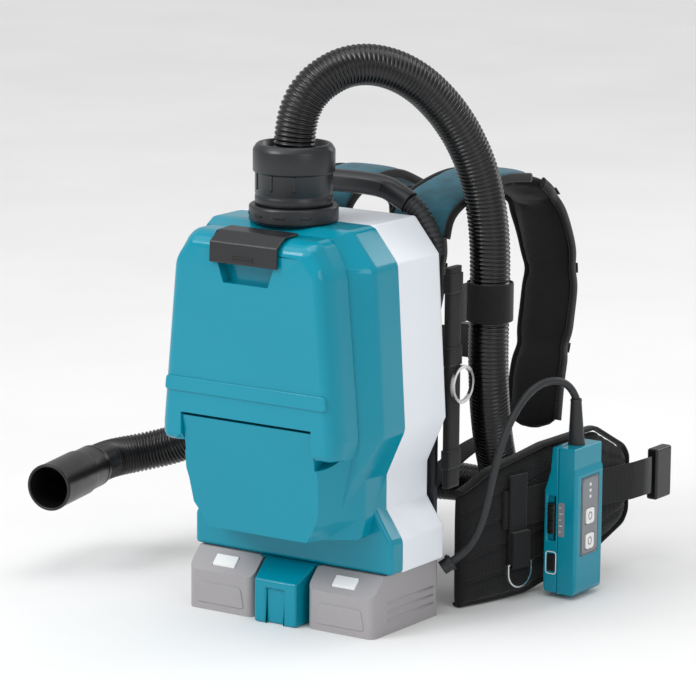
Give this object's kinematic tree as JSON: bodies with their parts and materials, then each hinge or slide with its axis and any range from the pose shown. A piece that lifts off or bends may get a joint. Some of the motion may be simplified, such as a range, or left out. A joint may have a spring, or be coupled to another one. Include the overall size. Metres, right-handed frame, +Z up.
{
  "type": "backpack vacuum cleaner",
  "caption": "Battery backpack vacuum cleaner with front lid, swivel suction hose, padded harness, hip belt and a wired belt control box.",
  "frame": {"origin": "centre of the bottom face of the block between the two batteries, on the floor", "axes": "+Z up, -Y out of the lid, +Y towards the wearer and the harness, +X to the right when facing the lid"},
  "size_m": [0.5027, 0.4996, 0.5471],
  "materials": {
    "teal_gloss": "glossy teal moulding",
    "pale_shell": "satin pale grey moulding",
    "dark_trim": "satin dark grey moulding",
    "black_plastic": "satin black moulding",
    "hose_black": "glossy ribbed black plastic",
    "cable_rubber": "matt dark rubber",
    "battery_grey": "pale grey moulding",
    "button_white": "white keys",
    "panel_grey": "printed grey membrane",
    "steel": "bright plated wire",
    "board": "circuit board",
    "filter_paper": "pleated filter fleece",
    "padding_black": "black mesh over foam",
    "padding_teal": "teal coated cloth over foam",
    "webbing": "black woven webbing"
  },
  "bodies": {
    "pack": {"back_pad": "padding_black", "back_plate": "dark_trim", "bag_holder": "dark_trim", "belt_buckle_plug": "black_plastic", "belt_buckle_socket": "black_plastic", "belt_clip": "dark_trim", "belt_webbings": "webbing", "belt_wing_left": "padding_black", "belt_wing_right": "padding_black", "cable": "cable_rubber", "cable_gland": "dark_trim", "cable_strain_relief": "cable_rubber", "carry_handle": "dark_trim", "centre_block": "teal_gloss", "chest_buckle_plug": "black_plastic", "chest_buckle_socket": "black_plastic", "chest_straps": "webbing", "control_case_back": "teal_gloss", "control_case_front": "teal_gloss", "control_panel": "panel_grey", "controller_board": "board", "dust_bag": "filter_paper", "front_housing": "teal_gloss", "handle_boots": "cable_rubber", "hepa_filter": "filter_paper", "hose": "hose_black", "hose_band": "webbing", "housing_screws": "steel", "inlet_collar": "dark_trim", "lid_hinge_pin": "steel", "lid_seal": "cable_rubber", "lumbar_pad": "padding_black", "motor_housing": "dark_trim", "rear_housing": "pale_shell", "ring_tabs": "webbing", "shoulder_strap_left": "padding_black", "shoulder_strap_right": "padding_black", "shoulder_yokes": "padding_teal", "side_straps": "padding_black", "strap_webbings": "webbing", "terminal_blocks": "dark_trim"},
    "lid": {"lid": "teal_gloss", "latch_pin": "steel"},
    "latch": {"lid_latch": "dark_trim"},
    "battery_left": {"battery_left": "battery_grey"},
    "battery_right": {"battery_right": "battery_grey"},
    "battery_button_left": {"battery_button_left": "button_white"},
    "battery_button_right": {"battery_button_right": "button_white"},
    "cuff": {"hose_cuff": "dark_trim"},
    "rotor": {"fan": "dark_trim", "rotor_shaft": "steel"},
    "power_key": {"button_power": "button_white"},
    "stop_key": {"button_stop": "button_white"},
    "slider": {"mode_slider": "black_plastic"},
    "wireless_key": {"wireless_button": "black_plastic"},
    "side_ring_left": {"ring_side_left": "steel"},
    "side_ring_right": {"ring_side_right": "steel"},
    "belt_ring_left": {"ring_belt_left": "steel"},
    "belt_ring_right": {"ring_belt_right": "steel"},
    "end_cuff": {"hose_end_cuff": "black_plastic"}
  },
  "joints": [
    {"name": "lid_hinge", "type": "hinge", "parent": "pack", "child": "lid", "pos_m": [0, -0.129, 0.201], "axis": [1, 0, 0], "range_deg": [0, 75]},
    {"name": "latch_hinge", "type": "hinge", "parent": "lid", "child": "latch", "pos_m": [0, -0.105, 0.376], "axis": [-1, 0, 0], "range_deg": [0, 20], "stiffness_Nm_per_rad": 0.02},
    {"name": "battery_left_slide", "type": "slide", "parent": "pack", "child": "battery_left", "axis": [0, -1, 0], "range_m": [0, 0.12]},
    {"name": "battery_left_release", "type": "slide", "parent": "battery_left", "child": "battery_button_left", "axis": [0, 0, -1], "range_m": [0, 0.004], "stiffness_N_per_m": 600},
    {"name": "battery_right_slide", "type": "slide", "parent": "pack", "child": "battery_right", "axis": [0, -1, 0], "range_m": [0, 0.12]},
    {"name": "battery_right_release", "type": "slide", "parent": "battery_right", "child": "battery_button_right", "axis": [0, 0, -1], "range_m": [0, 0.004], "stiffness_N_per_m": 600},
    {"name": "cuff_swivel", "type": "hinge", "parent": "pack", "child": "cuff", "pos_m": [0, -0.056, 0.42], "axis": [0, 0, 1], "continuous": true},
    {"name": "fan_spin", "type": "hinge", "parent": "pack", "child": "rotor", "pos_m": [0, 0, 0.135], "axis": [0, -1, 0], "continuous": true},
    {"name": "power_press", "type": "slide", "parent": "pack", "child": "power_key", "axis": [-1, 0, 0], "range_m": [0, 0.0008], "stiffness_N_per_m": 800},
    {"name": "stop_press", "type": "slide", "parent": "pack", "child": "stop_key", "axis": [-1, 0, 0], "range_m": [0, 0.0008], "stiffness_N_per_m": 800},
    {"name": "wireless_press", "type": "slide", "parent": "pack", "child": "wireless_key", "axis": [0, 1, 0], "range_m": [0, 0.0005], "stiffness_N_per_m": 800},
    {"name": "mode_slide", "type": "slide", "parent": "pack", "child": "slider", "axis": [0, 0, 1], "range_m": [-0.004, 0.004]},
    {"name": "side_ring_left_swing", "type": "hinge", "parent": "pack", "child": "side_ring_left", "pos_m": [-0.1144, 0.044, 0.222], "axis": [0, 0, 1], "range_deg": [0, 60]},
    {"name": "belt_ring_left_swing", "type": "hinge", "parent": "pack", "child": "belt_ring_left", "pos_m": [-0.1388, 0.12943, 0.0356], "axis": [-0.2052, 0.9787, 0], "range_deg": [0, 60]},
    {"name": "side_ring_right_swing", "type": "hinge", "parent": "pack", "child": "side_ring_right", "pos_m": [0.1144, 0.044, 0.222], "axis": [0, 0, -1], "range_deg": [0, 60]},
    {"name": "belt_ring_right_swing", "type": "hinge", "parent": "pack", "child": "belt_ring_right", "pos_m": [0.1388, 0.12943, 0.0356], "axis": [-0.2052, -0.9787, 0], "range_deg": [0, 60]},
    {"name": "end_cuff_swivel", "type": "hinge", "parent": "pack", "child": "end_cuff", "pos_m": [-0.2915, 0.0143, 0.0954], "axis": [0.1603, -0.9866, -0.03], "continuous": true}
  ]
}
